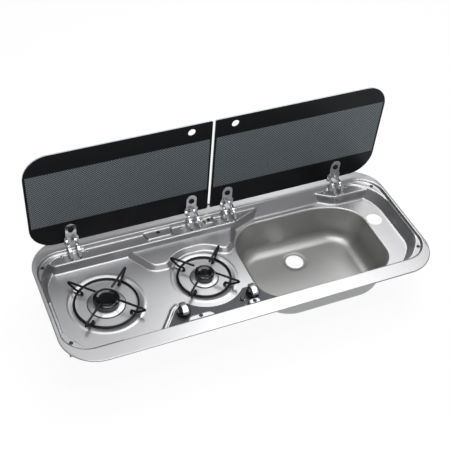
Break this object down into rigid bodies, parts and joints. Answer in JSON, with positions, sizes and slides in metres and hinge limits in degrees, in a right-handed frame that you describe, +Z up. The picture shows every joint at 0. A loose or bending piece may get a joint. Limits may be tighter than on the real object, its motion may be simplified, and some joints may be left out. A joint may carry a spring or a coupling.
{
  "type": "hob and sink combo",
  "caption": "Drop-in stainless hob and sink in one tray, with gas burners under wire pan supports, a deep bowl and a split black glass lid on goose-neck hinges.",
  "frame": {"origin": "middle of the rim's outline, at the worktop's surface that the seal lies on", "axes": "+X right along the long side, +Y to the back where the lids hinge, +Z up"},
  "size_m": [0.9, 0.37, 0.4053],
  "materials": {
    "stainless_tray": "satin pressed stainless sheet",
    "stainless_bowl": "satin drawn stainless sheet",
    "seal_rubber": "soft foam strip",
    "zinc_steel": "zinc plated",
    "soft_black": "matt soft rubber",
    "hinge_steel": "plain steel",
    "hinge_chrome": "bright plated",
    "stud_bright": "bright",
    "black_glass": "glossy toughened glass with a dark printed back",
    "bush_white": "plain",
    "screw_black": "black coated",
    "cap_bright": "bright",
    "panel_charcoal": "satin charcoal",
    "knob_black": "glossy",
    "grip_silver": "satin silver",
    "tap_brass": "machined",
    "stem_steel": "turned",
    "pipe_aluminium": "drawn tube",
    "burner_aluminium": "cast",
    "trim_steel": "bright spun ring",
    "cap_enamel": "glossy black enamel",
    "probe_copper": "copper tube",
    "electrode_ceramic": "white glazed ceramic",
    "support_enamel": "black enamelled wire",
    "button_dark": "glossy dark red",
    "igniter_black": "plain"
  },
  "bodies": {
    "unit": {"tray": "stainless_tray", "sink_bowl": "stainless_bowl", "rim_seal": "seal_rubber", "fixing_screws": "zinc_steel", "screw_caps": "soft_black", "fixing_clamps": "zinc_steel", "hinge_bracket_1": "hinge_steel", "hinge_bracket_2": "hinge_steel", "hinge_bracket_3": "hinge_steel", "hinge_bracket_4": "hinge_steel", "hinge_pin_1": "hinge_steel", "hinge_pin_2": "hinge_steel", "hinge_pin_3": "hinge_steel", "hinge_pin_4": "hinge_steel", "hinge_studs": "stud_bright", "control_panel": "panel_charcoal", "valve_left": "tap_brass", "valve_right": "tap_brass", "igniter_body": "igniter_black", "gas_rail": "pipe_aluminium", "burner_pipe_left": "pipe_aluminium", "burner_pipe_right": "pipe_aluminium", "burner_cup_left": "burner_aluminium", "burner_cup_right": "burner_aluminium", "burner_trim_left": "trim_steel", "burner_trim_right": "trim_steel", "burner_head_left": "burner_aluminium", "burner_head_right": "burner_aluminium", "burner_cap_left": "cap_enamel", "burner_cap_right": "cap_enamel", "thermocouple_left": "probe_copper", "thermocouple_right": "probe_copper", "electrode_left": "electrode_ceramic", "electrode_right": "electrode_ceramic", "pan_support_left": "support_enamel", "pan_support_right": "support_enamel", "support_feet_left": "soft_black", "support_feet_right": "soft_black"},
    "lid_left": {"lid_glass_left": "black_glass", "lid_bushes_left": "bush_white", "lid_screws_left": "screw_black", "lid_caps_left": "cap_bright", "hinge_arm_1": "hinge_chrome", "hinge_arm_2": "hinge_chrome"},
    "lid_right": {"lid_glass_right": "black_glass", "lid_bushes_right": "bush_white", "lid_screws_right": "screw_black", "lid_caps_right": "cap_bright", "hinge_arm_3": "hinge_chrome", "hinge_arm_4": "hinge_chrome"},
    "push_left": {"valve_plunger_left": "tap_brass"},
    "push_right": {"valve_plunger_right": "tap_brass"},
    "tap_left": {"knob_left": "knob_black", "knob_grip_left": "grip_silver", "valve_stem_left": "stem_steel"},
    "tap_right": {"knob_right": "knob_black", "knob_grip_right": "grip_silver", "valve_stem_right": "stem_steel"},
    "button": {"igniter_button": "button_dark"}
  },
  "joints": [
    {"name": "lid_left_close", "type": "hinge", "parent": "unit", "child": "lid_left", "pos_m": [-0.1983, 0.1448, -0.0118], "axis": [1, 0, 0], "range_deg": [0, 90]},
    {"name": "lid_right_close", "type": "hinge", "parent": "unit", "child": "lid_right", "pos_m": [0.1863, 0.1448, -0.0118], "axis": [1, 0, 0], "range_deg": [0, 90]},
    {"name": "tap_left_push", "type": "slide", "parent": "unit", "child": "push_left", "axis": [0, 0, -1], "range_m": [0, 0.003], "stiffness_N_per_m": 600, "springref_m": -0.006},
    {"name": "tap_left_turn", "type": "hinge", "parent": "push_left", "child": "tap_left", "pos_m": [-0.166, -0.096, -0.02], "axis": [0, 0, 1], "range_deg": [0, 210]},
    {"name": "tap_right_push", "type": "slide", "parent": "unit", "child": "push_right", "axis": [0, 0, -1], "range_m": [0, 0.003], "stiffness_N_per_m": 600, "springref_m": -0.006},
    {"name": "tap_right_turn", "type": "hinge", "parent": "push_right", "child": "tap_right", "pos_m": [0.001, -0.096, -0.02], "axis": [0, 0, 1], "range_deg": [0, 210]},
    {"name": "button_push", "type": "slide", "parent": "unit", "child": "button", "axis": [0, 0, -1], "range_m": [0, 0.003], "stiffness_N_per_m": 400, "springref_m": -0.004}
  ]
}
